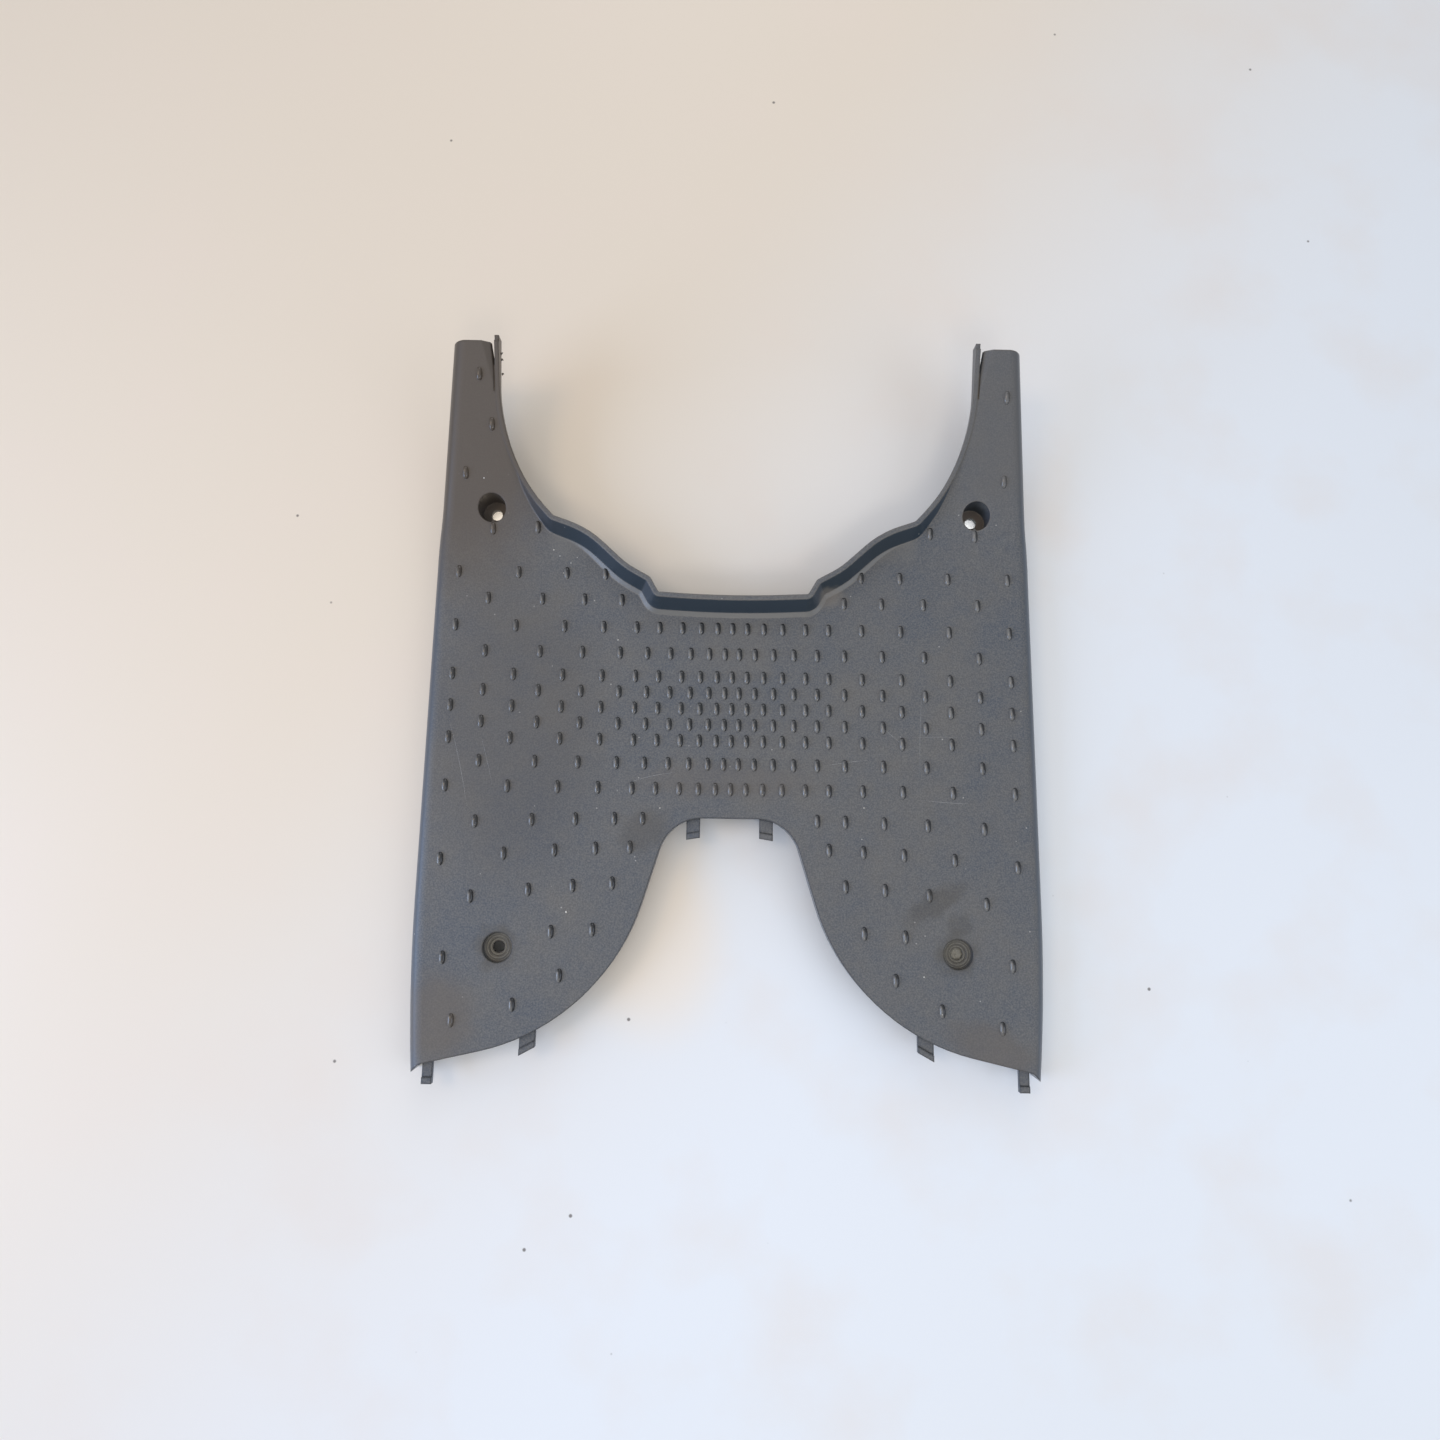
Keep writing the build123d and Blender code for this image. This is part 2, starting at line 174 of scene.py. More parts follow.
# Dirt in the rear screw seats: rings by radius and by the height of the floor below them,
# and a plug by share of its radius and by height
REAR_SCREW = (132 * MM, -141 * MM)
SEAT_RINGS = ((4.4 * MM, 16.2 * MM), (6.2 * MM, 17 * MM), (7.5 * MM, 17 * MM))
SEAT_RING_WIDTH = 0.6 * MM
SEAT_RING_LIFT = 0.22 * MM
SEAT_RING_ROOT = 0.2 * MM
SEAT_RING_UNEVEN_WIDTH = (0.5, 1.1)  # least and greatest share
SEAT_RING_UNEVEN_LIFT = (0.5, 1.0)
SEAT_STEPS = 40
PLUG_R = 3.65 * MM
PLUG_LEVELS = ((1.0, 14.2 * MM), (1.0, 15.0 * MM), (0.6, 14.8 * MM), (0.3, 14.7 * MM))
PLUG_UNEVEN = 0.15 * MM

# The table: half its side in metres, and a pale warm patch of painted light on it, lifting the
# shadow in the rear notch: centre and half sizes in mm, turn in radians, strength, colour
TABLE_HALF = 3.0
TABLE_NOTCH_PAINTED_LIGHT = ((-52, -128, 0), (60, 85, 20), 0.3, 0.6, "#EADCC8")

# Lights in the room: name, place, target and size in metres, watts, colour
LIGHTS = (
    ("ceiling", (-0.2, 0.1, 1.7), (-0.2, 0.1, 0), 1.6, 4.8, "#F8FAFF"),
    ("lamp_rear", (0.1, -0.85, 1.1), (0, -0.05, 0), 0.3, 2.3, "#FFF4E6"),
    ("window_front", (0.1, 1.3, 0.75), (0, 0.1, 0), 0.9, 4.5, "#F4F6FF"),
    ("lamp_left", (-0.75, 0.15, 1.15), (-0.1, 0.1, 0), 0.35, 2.1, "#FFDDB4"),
    ("window_rear_left", (-1.25, -0.35, 0.6), (0, 0, 0), 0.8, 12.5, "#B9D3FF"),
    ("window_right", (1.1, -0.5, 0.9), (0.1, -0.1, 0), 0.9, 5.5, "#D6E2F8"),
)
ROOM_COLOUR = "#F3F3F4"
ROOM_STRENGTH = 0.52

# Daylight that comes in under the raised arms and shows through the front screw holes
FRONT_SCREW = (148.5 * MM, 121 * MM)
UNDER_CUP_Z = 9 * MM
UNDER_CUP_SIZE = 12 * MM
UNDER_CUP_WATTS = 0.0016

# Camera
CAMERA_PLACE = (-8.24 * MM, -79 * MM, 499 * MM)
CAMERA_TURN_DEG = (8.50, -0.32, 0.93)
SENSOR_MM = 36.0
FOCAL_PX = 812.0
IMAGE_PX = 1440.0

# Sockets of a colour mix node
MIX_A, MIX_B, MIX_OUT = 6, 7, 2


def colour(hex_code):
    """An sRGB hex colour as linear red, green, blue and alpha."""
    parts = [int(hex_code[i : i + 2], 16) / 255 for i in (1, 3, 5)]
    return [p / 12.92 if p <= 0.04045 else ((p + 0.055) / 1.055) ** 2.4 for p in parts] + [1.0]


def add(tree, kind, inputs=None, **settings):
    """Adds a node; inputs holds values or links by socket, settings the node's own options."""
    made = tree.nodes.new(kind)
    for name, value in settings.items():
        setattr(made, name, value)
    for name, value in (inputs or {}).items():
        if isinstance(value, bpy.types.NodeSocket):
            tree.links.new(value, made.inputs[name])
        else:
            made.inputs[name].default_value = value
    return made


def new_material(name):
    """An empty node material."""
    material = bpy.data.materials.new(name)
    material.use_nodes = True
    material.node_tree.nodes.clear()
    return material, material.node_tree


def marked(tree, tone, place, centre, half_sizes, turn, strength, hex_code):
    """The tone with one soft oval mark on it; sizes in mm, turn in radians, seen from above."""
    local = add(
        tree,
        "ShaderNodeMapping",
        {
            "Vector": place,
            "Location": [c * MM for c in centre],
            "Rotation": (0, 0, turn),
            "Scale": [s * MM for s in half_sizes],
        },
        vector_type="TEXTURE",
    )
    ball = add(
        tree,
        "ShaderNodeTexGradient",
        {"Vector": local.outputs[0]},
        gradient_type="SPHERICAL",
    )
    share = add(
        tree,
        "ShaderNodeMapRange",
        {"Value": ball.outputs["Fac"], "From Max": 0.6, "To Max": strength},
        interpolation_type="SMOOTHSTEP",
    )
    mixed = add(
        tree,
        "ShaderNodeMix",
        {0: share.outputs["Result"], MIX_A: tone, MIX_B: colour(hex_code)},
        data_type="RGBA",
    )
    return mixed.outputs[MIX_OUT]


def stains_and_painted_light(tree, tone, place):
    """The tone with the ragged stains that years of use left on it, and patches of painted light.
    """
    cloud = add(tree, "ShaderNodeTexNoise", {"Vector": place, "Scale": 1 / (9 * MM), "Detail": 4.0})
    middle = add(
        tree,
        "ShaderNodeVectorMath",
        {0: cloud.outputs["Color"], 1: (0.5, 0.5, 0.5)},
        operation="SUBTRACT",
    )
    ragged = add(
        tree,
        "ShaderNodeVectorMath",
        {0: middle.outputs[0], 1: [STAIN_RAGGED] * 3, 2: place},
        operation="MULTIPLY_ADD",
    )
    for centre, half_sizes, turn_deg, strength, hex_code in STAINS_AND_PAINTED_LIGHT:
        turn = math.radians(turn_deg)
        tone = marked(tree, tone, ragged.outputs[0], centre, half_sizes, turn, strength, hex_code)
    return tone


def moulded_polypropylene():
    """Grey polypropylene from a grained mould: matt dust on top, dark satin walls, worn edges, with
    painted shade on the lip's rear wall and on most edges.
    """
    material, tree = new_material("moulded_polypropylene")
    place = add(tree, "ShaderNodeTexCoord").outputs["Object"]
    geometry = add(tree, "ShaderNodeNewGeometry")
    facing = add(tree, "ShaderNodeSeparateXYZ", {0: geometry.outputs["Normal"]})
    where = add(tree, "ShaderNodeSeparateXYZ", {0: place})

    # The lip's rear wall faces away from the lights: painted shade, blue-black, with a painted
    # reflection of blue sky, on plastic that dust doesn't reach
    at_lip = add(
        tree,
        "ShaderNodeMapRange",
        {"Value": where.outputs["Y"], "From Min": LIP_REAR_Y - 4 * MM, "From Max": LIP_REAR_Y},
    )
    to_rear = add(
        tree,
        "ShaderNodeMapRange",
        {"Value": facing.outputs["Y"], "From Min": -0.3, "From Max": -0.7},
    )
    lip_wall_shade = add(
        tree,
        "ShaderNodeMath",
        {0: at_lip.outputs["Result"], 1: to_rear.outputs["Result"]},
        operation="MULTIPLY",
    )
    clean_and_lip_wall_shade = add(
        tree,
        "ShaderNodeMix",
        {0: lip_wall_shade.outputs[0], MIX_A: colour("#464E58"), MIX_B: colour("#202F3B")},
        data_type="RGBA",
    )

    # Dust lies on what faces up, nearly even, in two close tones
    drift = add(
        tree,
        "ShaderNodeTexNoise",
        {"Vector": place, "Scale": 1 / (40 * MM), "Detail": 7.0, "Roughness": 0.68},
    )
    patches = add(
        tree,
        "ShaderNodeMapRange",
        {"Value": drift.outputs["Fac"], "From Min": 0.35, "From Max": 0.65},
    )
    dust_tone = add(
        tree,
        "ShaderNodeMix",
        {0: patches.outputs["Result"], MIX_A: colour("#454B54"), MIX_B: colour("#575655")},
        data_type="RGBA",
    )
    # Mould grain, drawn at 0.9 mm: a pixel covers 0.6 mm, so a finer one wouldn't show
    grain = add(
        tree,
        "ShaderNodeTexNoise",
        {"Vector": place, "Scale": 1 / (0.9 * MM), "Detail": 2.0},
    )
    pits = add(
        tree,
        "ShaderNodeMapRange",
        {"Value": grain.outputs["Fac"], "From Min": 0.35, "From Max": 0.7, "To Max": 0.56},
    )
    dust_tone = add(
        tree,
        "ShaderNodeMix",
        {0: pits.outputs["Result"], MIX_A: dust_tone.outputs[MIX_OUT], MIX_B: colour("#73736F")},
        data_type="RGBA",
    )
    pale_share = add(
        tree,
        "ShaderNodeMapRange",
        {"Value": facing.outputs["Z"], "From Min": 0.78, "From Max": 0.98},
        interpolation_type="SMOOTHSTEP",
    )
    tone = add(
        tree,
        "ShaderNodeMix",
        {
            0: pale_share.outputs["Result"],
            MIX_A: clean_and_lip_wall_shade.outputs[MIX_OUT],
            MIX_B: dust_tone.outputs[MIX_OUT],
        },
        data_type="RGBA",
    )

    # Dust gathers in the cove at the lip's foot
    aside = add(tree, "ShaderNodeMath", {0: where.outputs["X"]}, operation="ABSOLUTE")
    between_arms = add(
        tree,
        "ShaderNodeMapRange",
        {
            "Value": aside.outputs[0],
            "From Min": LIP_HALF_WIDTH,
            "From Max": LIP_HALF_WIDTH - 8 * MM,
        },
    )
    leaning = add(
        tree,
        "ShaderNodeMapRange",
        {"Value": facing.outputs["Y"], "From Min": -0.03, "From Max": -0.2, "To Max": 0.75},
    )
    in_cove = add(
        tree,
        "ShaderNodeMath",
        {0: between_arms.outputs["Result"], 1: leaning.outputs["Result"]},
        operation="MULTIPLY",
    )
    gathered = add(
        tree,
        "ShaderNodeMath",
        {0: in_cove.outputs[0], 1: at_lip.outputs["Result"]},
        operation="MULTIPLY",
    )
    flat_enough = add(
        tree,
        "ShaderNodeMapRange",
        {"Value": facing.outputs["Z"], "From Min": 0.4, "From Max": 0.75},
    )
    cove_share = add(
        tree,
        "ShaderNodeMath",
        {0: gathered.outputs[0], 1: flat_enough.outputs["Result"]},
        operation="MULTIPLY",
    )
    tone = add(
        tree,
        "ShaderNodeMix",
        {0: cove_share.outputs[0], MIX_A: tone.outputs[MIX_OUT], MIX_B: colour("#716F69")},
        data_type="RGBA",
    )

    # Fine pale grit: a dot in one cell out of six
    cells = add(tree, "ShaderNodeTexVoronoi", {"Vector": place, "Scale": 1 / (6 * MM)})
    lot = add(tree, "ShaderNodeSeparateColor", {0: cells.outputs["Color"]})
    chosen = add(tree, "ShaderNodeMath", {0: lot.outputs[0], 1: 0.83}, operation="GREATER_THAN")
    dot = add(
        tree,
        "ShaderNodeMapRange",
        {"Value": cells.outputs["Distance"], "From Min": 0.09, "From Max": 0.04, "To Max": 0.75},
    )
    speck = add(
        tree,
        "ShaderNodeMath",
        {0: chosen.outputs[0], 1: dot.outputs[0]},
        operation="MULTIPLY",
    )
    tone = add(
        tree,
        "ShaderNodeMix",
        {0: speck.outputs[0], MIX_A: tone.outputs[MIX_OUT], MIX_B: colour("#A9A8A3")},
        data_type="RGBA",
    )

    # Brown dirt lies on what faces up below the tread: the front cups and the tongues
    low = add(
        tree,
        "ShaderNodeMapRange",
        {"Value": where.outputs["Z"], "From Min": 15.5 * MM, "From Max": 13.8 * MM, "To Max": 0.8},
    )
    low_dirt = add(
        tree,
        "ShaderNodeMath",
        {0: low.outputs["Result"], 1: pale_share.outputs["Result"]},
        operation="MULTIPLY",
    )
    tone = add(
        tree,
        "ShaderNodeMix",
        {0: low_dirt.outputs[0], MIX_A: tone.outputs[MIX_OUT], MIX_B: colour("#62564B")},
        data_type="RGBA",
    )

    # Edges: pale at the lip, as wear and a painted highlight; painted dark elsewhere, as shade on
    # rounded edges that turn away from the light
    edge_tone = add(
        tree,
        "ShaderNodeMix",
        {0: at_lip.outputs["Result"], MIX_A: colour("#2A2B2D"), MIX_B: colour("#78736B")},
        data_type="RGBA",
    )
    round_edge = add(tree, "ShaderNodeBevel", {"Radius": 1.5 * MM}, samples=4)
    along = add(
        tree,
        "ShaderNodeVectorMath",
        {0: round_edge.outputs["Normal"], 1: geometry.outputs["Normal"]},
        operation="DOT_PRODUCT",
    )
    edge_wear_and_painted_light = add(
        tree,
        "ShaderNodeMapRange",
        {"Value": along.outputs["Value"], "From Min": 0.995, "From Max": 0.87, "To Max": 0.85},
    )
    tone = add(
        tree,
        "ShaderNodeMix",
        {
            0: edge_wear_and_painted_light.outputs["Result"],
            MIX_A: tone.outputs[MIX_OUT],
            MIX_B: edge_tone.outputs[MIX_OUT],
        },
        data_type="RGBA",
    )
    tone = stains_and_painted_light(tree, tone.outputs[MIX_OUT], place)

    bump = add(
        tree,
        "ShaderNodeBump",
        {
            "Height": grain.outputs["Fac"],
            "Strength": 0.35,
            "Distance": 0.15 * MM,
            "Normal": round_edge.outputs["Normal"],
        },
    )
    dull = add(
        tree,
        "ShaderNodeMapRange",
        {"Value": pale_share.outputs["Result"], "To Min": 0.3, "To Max": 0.58},
    )
    shader = add(
        tree,
        "ShaderNodeBsdfPrincipled",
        {
            "Base Color": tone,
            "Roughness": dull.outputs["Result"],
            "IOR": 1.49,
            "Normal": bump.outputs[0],
        },
    )
    add(tree, "ShaderNodeOutputMaterial", {"Surface": shader.outputs[0]})
    return material


def nub_polypropylene_painted_shade():
    """Polypropylene of the nubs, polished glossy by shoes: dusty on the flank towards the windows,
    painted shade, a dark tone, on the other flank.
    """
    material, tree = new_material("nub_polypropylene_painted_shade")
    place = add(tree, "ShaderNodeTexCoord").outputs["Object"]
    facing = add(tree, "ShaderNodeNewGeometry").outputs["Normal"]
    # Painted light and shade: the dusty tone on the flank facing the windows, a dark tone on the
    # flank away from them
    lit_side = add(
        tree,
        "ShaderNodeVectorMath",
        {0: facing, 1: Vector(NUB_LIT_SIDE).normalized()},
        operation="DOT_PRODUCT",
    )
    smear = add(tree, "ShaderNodeTexNoise", {"Vector": place, "Scale": 1 / (5 * MM), "Detail": 3.0})
    uneven = add(
        tree,
        "ShaderNodeMath",
        {0: smear.outputs["Fac"], 1: 0.5, 2: lit_side.outputs["Value"]},
        operation="MULTIPLY_ADD",
    )
    pale_share = add(
        tree,
        "ShaderNodeMapRange",
        {"Value": uneven.outputs[0], "From Min": 0.35, "From Max": 0.95},
        interpolation_type="SMOOTHSTEP",
    )
    tone = add(
        tree,
        "ShaderNodeMix",
        {0: pale_share.outputs["Result"], MIX_A: colour("#292B2D"), MIX_B: colour("#706F6C")},
        data_type="RGBA",
    )
    tone = stains_and_painted_light(tree, tone.outputs[MIX_OUT], place)
    dull = add(
        tree,
        "ShaderNodeMapRange",
        {
            "Value": smear.outputs["Fac"],
            "From Min": 0.35,
            "From Max": 0.65,
            "To Min": 0.14,
            "To Max": 0.26,
        },
    )
    shader = add(
        tree,
        "ShaderNodeBsdfPrincipled",
        {"Base Color": tone, "Roughness": dull.outputs["Result"], "IOR": 1.49},
    )
    add(tree, "ShaderNodeOutputMaterial", {"Surface": shader.outputs[0]})
    return material


def dried_mud(name, dark, pale):
    """Road dirt dried where it settled: a matt crust, brown in the grooves, paler in the seats."""
    material, tree = new_material(name)
    place = add(tree, "ShaderNodeTexCoord").outputs["Object"]
    crumbs = add(
        tree,
        "ShaderNodeTexNoise",
        {"Vector": place, "Scale": 1 / (1.5 * MM), "Detail": 4.0},
    )
    tone = add(
        tree,
        "ShaderNodeMix",
        {0: crumbs.outputs["Fac"], MIX_A: colour(dark), MIX_B: colour(pale)},
        data_type="RGBA",
    )
    bump = add(
        tree,
        "ShaderNodeBump",
        {"Height": crumbs.outputs["Fac"], "Strength": 0.6, "Distance": 0.3 * MM},
    )
    shader = add(
        tree,
        "ShaderNodeBsdfPrincipled",
        {
            "Base Color": tone.outputs[MIX_OUT],
            "Roughness": 0.9,
            "IOR": 1.5,
            "Normal": bump.outputs[0],
        },
    )
    add(tree, "ShaderNodeOutputMaterial", {"Surface": shader.outputs[0]})
    return material


def scuffed_polypropylene():
    """Polypropylene whitened where it was scratched: pale and matt, in broken lengths."""
    material, tree = new_material("scuffed_polypropylene")
    place = add(tree, "ShaderNodeTexCoord").outputs["Object"]
    breaks = add(
        tree,
        "ShaderNodeTexNoise",
        {"Vector": place, "Scale": 1 / (4 * MM), "Detail": 2.0},
    )
    tone = add(
        tree,
        "ShaderNodeMix",
        {0: breaks.outputs["Fac"], MIX_A: colour("#7A7C7F"), MIX_B: colour("#B4B5B3")},
        data_type="RGBA",
    )
    shader = add(
        tree,
        "ShaderNodeBsdfPrincipled",
        {"Base Color": tone.outputs[MIX_OUT], "Roughness": 0.6, "IOR": 1.49},
    )
    add(tree, "ShaderNodeOutputMaterial", {"Surface": shader.outputs[0]})
    return material


def quartz_sand():
    """Grains of sand: small, pale, slightly glassy points of light."""
    material, tree = new_material("quartz_sand")
    place = add(tree, "ShaderNodeTexCoord").outputs["Object"]
    kinds = add(
        tree,
        "ShaderNodeTexNoise",
        {"Vector": place, "Scale": 1 / (20 * MM), "Detail": 1.0},
    )
    tone = add(
        tree,
        "ShaderNodeMix",
        {0: kinds.outputs["Fac"], MIX_A: colour("#A8A59C"), MIX_B: colour("#D6D4CE")},
        data_type="RGBA",
    )
    shader = add(
        tree,
        "ShaderNodeBsdfPrincipled",
        {"Base Color": tone.outputs[MIX_OUT], "Roughness": 0.4, "IOR": 1.54},
    )
    add(tree, "ShaderNodeOutputMaterial", {"Surface": shader.outputs[0]})
    return material


def painted_table():
    """Pale painted board, a little yellowed, with a few specks, and painted light: warm at the
    front left, cool at the rear right, a pale patch in the rear notch.
    """
    material, tree = new_material("painted_table")
    place = add(tree, "ShaderNodeTexCoord").outputs["Object"]

    # Painted light: warm towards the front left, cool towards the rear right, as the lamps and
    # windows tint it
    across = add(
        tree,
        "ShaderNodeVectorMath",
        {0: place, 1: (1.0, -0.75, 0.0)},
        operation="DOT_PRODUCT",
    )
    cool_light_share = add(
        tree,
        "ShaderNodeMapRange",
        {"Value": across.outputs["Value"], "From Min": -0.3, "From Max": 0.25},
        interpolation_type="SMOOTHSTEP",
    )
    tone = add(
        tree,
        "ShaderNodeMix",
        {0: cool_light_share.outputs["Result"], MIX_A: colour("#DACEBC"), MIX_B: colour("#DFE4E8")},
        data_type="RGBA",
    ).outputs[MIX_OUT]
    cloud = add(
        tree,
        "ShaderNodeTexNoise",
        {"Vector": place, "Scale": 1 / (90 * MM), "Detail": 5.0},
    )
    yellowed = add(
        tree,
        "ShaderNodeMapRange",
        {"Value": cloud.outputs["Fac"], "From Min": 0.48, "From Max": 0.7, "To Max": 0.25},
    )
    tone = add(
        tree,
        "ShaderNodeMix",
        {0: yellowed.outputs["Result"], MIX_A: tone, MIX_B: colour("#DCCDBE")},
        data_type="RGBA",
    ).outputs[MIX_OUT]
    # Painted light: a pale warm patch that lifts the shadow in the rear notch
    tone = marked(tree, tone, place, *TABLE_NOTCH_PAINTED_LIGHT)

    # Specks: a dot in one cell out of five
    cells = add(tree, "ShaderNodeTexVoronoi", {"Vector": place, "Scale": 1 / (28 * MM)})
    lot = add(tree, "ShaderNodeSeparateColor", {0: cells.outputs["Color"]})
    chosen = add(tree, "ShaderNodeMath", {0: lot.outputs[0], 1: 0.8}, operation="GREATER_THAN")
    dot = add(
        tree,
        "ShaderNodeMapRange",
        {"Value": cells.outputs["Distance"], "From Min": 0.045, "From Max": 0.025, "To Max": 0.8},
    )
    speck = add(
        tree,
        "ShaderNodeMath",
        {0: chosen.outputs[0], 1: dot.outputs[0]},
        operation="MULTIPLY",
    )
    tone = add(
        tree,
        "ShaderNodeMix",
        {0: speck.outputs[0], MIX_A: tone, MIX_B: colour("#4E4842")},
        data_type="RGBA",
    ).outputs[MIX_OUT]
    shader = add(tree, "ShaderNodeBsdfPrincipled", {"Base Color": tone, "Roughness": 0.55})
    add(tree, "ShaderNodeOutputMaterial", {"Surface": shader.outputs[0]})
    return material


def tread_at(y):
    """The tread's height at a place along the part, and its slope there."""
    bend_start = RAMP_Y - RAMP_R * math.tan(RAMP / 2)
    slope = math.asin(min(max((y - bend_start) / RAMP_R, 0.0), math.sin(RAMP)))
    bend_z = TREAD_Z + RAMP_R * (1 - math.cos(slope))
    return max(bend_z, TREAD_Z + (y - RAMP_Y) * math.tan(RAMP)), slope


def nub_places():
    """Plan positions of every nub."""
    places = []
    for y, drop, columns, inner_x, outer_x in NUB_ROWS:
        for x in [x for x in columns if inner_x <= x <= outer_x]:
            here = y - drop * (x / DROP_X) ** 2
            places += [(x, here), (-x, here)] if x else [(x, here)]
    for x, y in NUBS_BOTH_SIDES:
        places += [(x, y), (-x, y)]
    return [(x * MM, y * MM) for x, y in places + list(NUBS_ONE_SIDE)]


def tube_faces(start, sections, sides, closed=False):
    """Faces of a tube through equal sections of corners, with two ends or closed on itself."""
    faces = []
    for section in range(sections if closed else sections - 1):
        here = start + section * sides
        following = start + (section + 1) % sections * sides
        for k in range(sides):
            after = (k + 1) % sides
            faces.append((here + k, here + after, following + after, following + k))
    if not closed:
        last = start + (sections - 1) * sides
        faces.append(tuple(start + k for k in reversed(range(sides))))
        faces.append(tuple(last + k for k in range(sides)))
    return faces


def lump_faces(start, levels, sides):
    """Faces of a lump of stacked rings, with a flat foot and one last corner for its top."""
    faces = tube_faces(start, levels, sides)[:-1]
    top = start + levels * sides
    last = top - sides
    return faces + [(last + k, last + (k + 1) % sides, top) for k in range(sides)]


def dome():
    """Corners and faces of one smooth oval dome on z = 0, with a short root below."""
    corners = []
    levels = [(1.0, -NUB_ROOT)]
    for ring in range(NUB_RINGS):
        lift = ring / NUB_RINGS * math.pi / 2
        levels.append((math.cos(lift), math.sin(lift) * NUB_HEIGHT))
    for share, z in levels:
        for step in range(NUB_SEGMENTS):
            turn = 2 * math.pi * step / NUB_SEGMENTS
            c, s = math.cos(turn), math.sin(turn)
            x = math.copysign(abs(c) ** (2 / NUB_PLAN_POWER), c) * NUB_WIDTH / 2
            y = math.copysign(abs(s) ** (2 / NUB_PLAN_POWER), s) * NUB_LENGTH / 2
            corners.append(Vector((x * share, y * share, z)))
    corners.append(Vector((0, 0, NUB_HEIGHT)))
    return corners, lump_faces(0, len(levels), NUB_SEGMENTS)


def mesh_object(name, corners, faces, material, smooth=True):
    """A mesh object of the part or the stage."""
    mesh = bpy.data.meshes.new(name)
    mesh.from_pydata(corners, [], faces)
    for face in mesh.polygons:
        face.use_smooth = smooth
    mesh.materials.append(material)
    made = bpy.data.objects.new(name, mesh)
    bpy.context.scene.collection.objects.link(made)
    return made


def piece_on_board(name, corners, faces, material, smooth=True):
    """A piece that lies on the floorboard and goes with it."""
    piece = mesh_object(name, corners, faces, material, smooth)
    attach(piece, "root")


def anti_slip_nubs(material):
    """A smooth dome over each faceted nub, square to the tread."""
    one_corners, one_faces = dome()
    corners, faces = [], []
    for x, y in nub_places():
        z, slope = tread_at(y)
        set_down = Matrix.Translation((x, y, z)) @ Matrix.Rotation(slope, 4, "X")
        start = len(corners)
        corners += [set_down @ c for c in one_corners]
        faces += [tuple(start + i for i in face) for face in one_faces]
    piece_on_board("anti_slip_nubs", corners, faces, material)


def torn_burrs(material):
    """Shreds of plastic where the edges were scraped: thin curled slivers rooted in the edge."""
    draw = random.Random(7)
    corners, faces = [], []
    root_thickness, tip_thickness = BURR_HALF_THICKNESS
    for place, length, way in BURRS:
        out = Vector((way[0], way[1], 0)).normalized()
        side = Vector((-out.y, out.x, 0))
        faces += tube_faces(len(corners), BURR_STEPS, 4)
        for step in range(BURR_STEPS):
            share = step / (BURR_STEPS - 1)
            middle = Vector(place) * MM + out * length * share * BURR_REACH * MM
            middle += side * length * share * draw.uniform(*BURR_BEND) * MM
            middle.z -= share * share * draw.uniform(*BURR_SAG) * MM
            wide = (1 - BURR_TAPER * share) * draw.uniform(*BURR_HALF_WIDTH) * MM
            thick = (root_thickness + (tip_thickness - root_thickness) * share) * MM
            for across, up in ((-1, -1), (1, -1), (1, 1), (-1, 1)):
                corners.append(middle + side * across * wide + Vector((0, 0, up * thick)))
    piece_on_board("torn_burrs", corners, faces, material)


def scratch_ridges(material):
    """Scratches on the tread: a thin line of plastic pushed up, fading out at both ends."""
    corners, faces = [], []
    z = TREAD_Z / MM
    for start, end, width, bow in SCRATCHES:
        first, last = Vector(start), Vector(end)
        along = (last - first).normalized()
        side = Vector((-along.y, along.x))
        faces += tube_faces(len(corners), SCRATCH_STEPS + 1, 3)
        for step in range(SCRATCH_STEPS + 1):
            share = step / SCRATCH_STEPS
            swell = math.sin(math.pi * share)
            middle = first.lerp(last, share) + side * bow * swell
            half = width / 2 * max(swell, SCRATCH_TIP)
            for aside, height in ((-half, -SCRATCH_ROOT), (half, -SCRATCH_ROOT), (0, SCRATCH_LIFT)):
                place = middle + side * aside
                corners.append(Vector((place.x, place.y, z + height)) * MM)
    piece_on_board("scratch_ridges", corners, faces, material, smooth=False)


def stuck_grit(material):
    """Pale sand grains pressed into the tread: uneven lumps, rooted in it."""
    draw = random.Random(11)
    corners, faces = [], []
    for (x, y), radius in GRIT:
        z = tread_at(y * MM)[0] / MM
        faces += lump_faces(len(corners), len(GRIT_LEVELS), GRIT_SIDES)
        for level, (share, height) in enumerate(GRIT_LEVELS):
            for side in range(GRIT_SIDES):
                turn = 2 * math.pi * (side + 0.5 * level) / GRIT_SIDES
                reach = radius * share * draw.uniform(*GRIT_UNEVEN)
                out = Vector((math.cos(turn), math.sin(turn), 0)) * reach
                corners.append((Vector((x, y, z + height * radius)) + out) * MM)
        corners.append(Vector((x, y, z + GRIT_TOP * radius)) * MM)
    piece_on_board("stuck_grit", corners, faces, material, smooth=False)


def groove_dirt(material):
    """Dirt packed into the groove beside each blade, thinner towards the arm's end."""
    draw = random.Random(3)
    corners, faces = [], []
    start_depth, end_depth = DIRT_DEPTH
    for side in (-1, 1):
        faces += tube_faces(len(corners), DIRT_STEPS + 1, 4)
        for step in range(DIRT_STEPS + 1):
            share = step / DIRT_STEPS
            y = DIRT_START_Y + DIRT_LENGTH * share
            z = tread_at(y)[0]
            depth = start_depth + (end_depth - start_depth) * share + draw.uniform(0, DIRT_UNEVEN)
            foot, top = z - DIRT_ROOT, z - depth
            for x, height in ((1, foot), (-1, foot), (-1, top), (1, top)):
                corners.append((side * GROOVE_X + x * DIRT_WIDTH / 2, y, height))
    piece_on_board("groove_dirt", corners, faces, material, smooth=False)


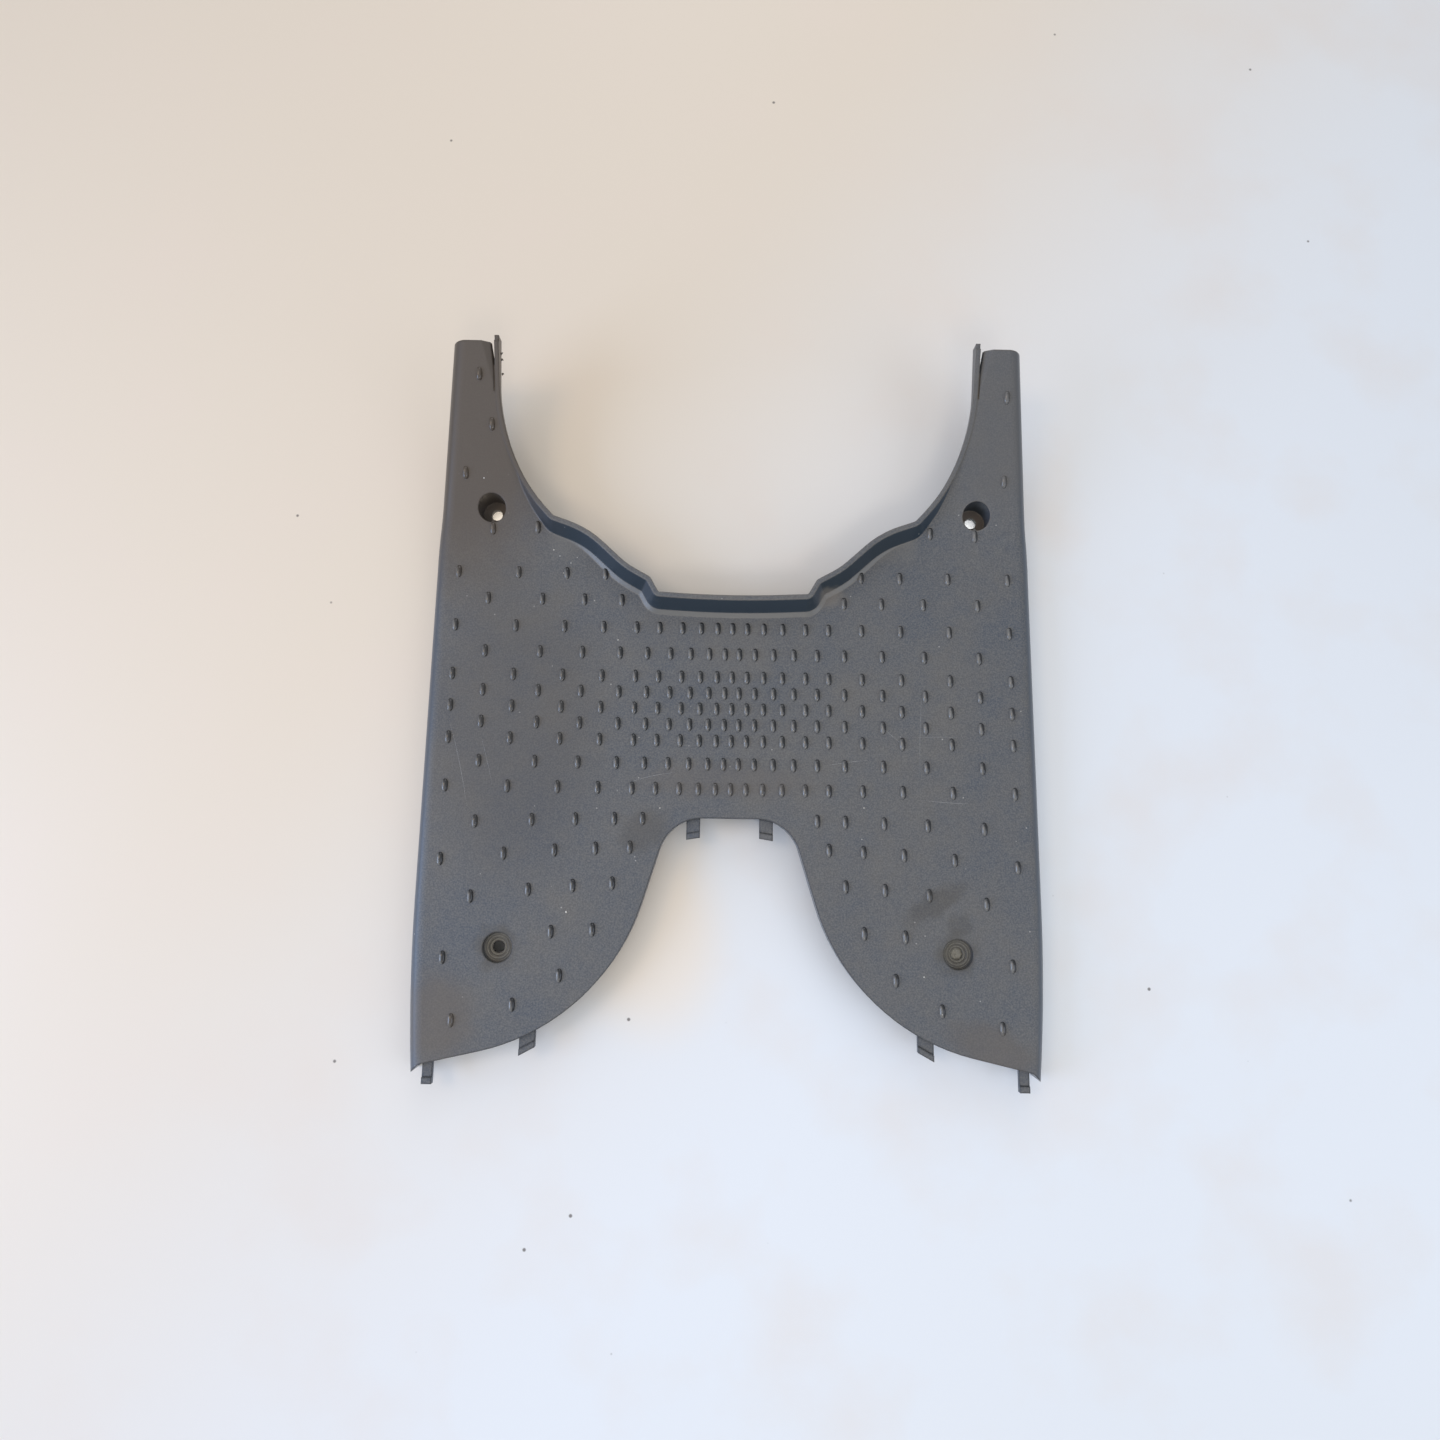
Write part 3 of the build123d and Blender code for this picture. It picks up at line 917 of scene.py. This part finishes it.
def seat_dirt(material):
    """Silt dried in the rear seats: thin raised rings, and a sunken plug in the right hole."""
    draw = random.Random(5)
    corners, faces = [], []
    turns = [2 * math.pi * step / SEAT_STEPS for step in range(SEAT_STEPS)]
    ways_out = [Vector((math.cos(turn), math.sin(turn), 0)) for turn in turns]
    x, y = REAR_SCREW
    for side in (-1, 1):
        for radius, floor_z in SEAT_RINGS:
            faces += tube_faces(len(corners), SEAT_STEPS, 3, closed=True)
            for out in ways_out:
                half = SEAT_RING_WIDTH / 2 * draw.uniform(*SEAT_RING_UNEVEN_WIDTH)
                lift = SEAT_RING_LIFT * draw.uniform(*SEAT_RING_UNEVEN_LIFT)
                middle = Vector((side * x, y, floor_z)) + out * radius
                for aside, up in ((half, -SEAT_RING_ROOT), (-half, -SEAT_RING_ROOT), (0, lift)):
                    corners.append(middle + out * aside + Vector((0, 0, up)))
    faces += lump_faces(len(corners), len(PLUG_LEVELS), SEAT_STEPS)
    for share, z in PLUG_LEVELS:
        for out in ways_out:
            lump = draw.uniform(-PLUG_UNEVEN, PLUG_UNEVEN) if share < 1 else 0
            corners.append(Vector((x, y, z + lump)) + out * PLUG_R * share)
    corners.append(Vector((x, y, PLUG_LEVELS[-1][1])))
    piece_on_board("seat_dirt", corners, faces, material)


def table_top():
    """The table that the part lies on."""
    plan = ((-1, -1), (1, -1), (1, 1), (-1, 1))
    corners = [(x * TABLE_HALF, y * TABLE_HALF, 0) for x, y in plan]
    mesh_object("table_top", corners, [(0, 1, 2, 3)], painted_table())


def soft_light(name, place, target, size, watts, hex_code):
    """A square soft box that looks at a target."""
    lamp = bpy.data.lights.new(name, "AREA")
    lamp.size = size
    lamp.energy = watts
    lamp.color = colour(hex_code)[:3]
    made = bpy.data.objects.new(name, lamp)
    made.location = place
    made.rotation_euler = (Vector(target) - Vector(place)).to_track_quat("-Z", "Y").to_euler()
    bpy.context.scene.collection.objects.link(made)


def lights():
    """A broad ceiling light, two warm lamps, three soft windows, and daylight under the arms."""
    for light in LIGHTS:
        soft_light(*light)
    for side in (-1, 1):
        x, y = side * FRONT_SCREW[0], FRONT_SCREW[1]
        place, target = (x, y, UNDER_CUP_Z), (x, y, 0)
        soft_light("light_under_arm", place, target, UNDER_CUP_SIZE, UNDER_CUP_WATTS, "#FFFFFF")
    world = bpy.data.worlds.new("room")
    world.use_nodes = True
    room = world.node_tree.nodes["Background"]
    room.inputs["Color"].default_value = colour(ROOM_COLOUR)
    room.inputs["Strength"].default_value = ROOM_STRENGTH
    bpy.context.scene.world = world


def camera():
    """The photograph's view, from nearly straight above."""
    data = bpy.data.cameras.new("camera")
    data.sensor_width = SENSOR_MM
    data.lens = SENSOR_MM * FOCAL_PX / IMAGE_PX
    made = bpy.data.objects.new("camera", data)
    made.location = CAMERA_PLACE
    made.rotation_euler = [math.radians(a) for a in CAMERA_TURN_DEG]
    bpy.context.scene.collection.objects.link(made)
    bpy.context.scene.camera = made


plastic = moulded_polypropylene()
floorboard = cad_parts["floorboard"]
for slot in floorboard.material_slots:
    slot.material = plastic
anti_slip_nubs(nub_polypropylene_painted_shade())
torn_burrs(plastic)
groove_dirt(dried_mud("dried_mud", "#4A433B", "#6B6257"))
seat_dirt(dried_mud("dried_silt", "#5C5A52", "#9A978B"))
scratch_ridges(scuffed_polypropylene())
stuck_grit(quartz_sand())
table_top()
lights()
camera()
bpy.context.scene.view_settings.view_transform = "Standard"
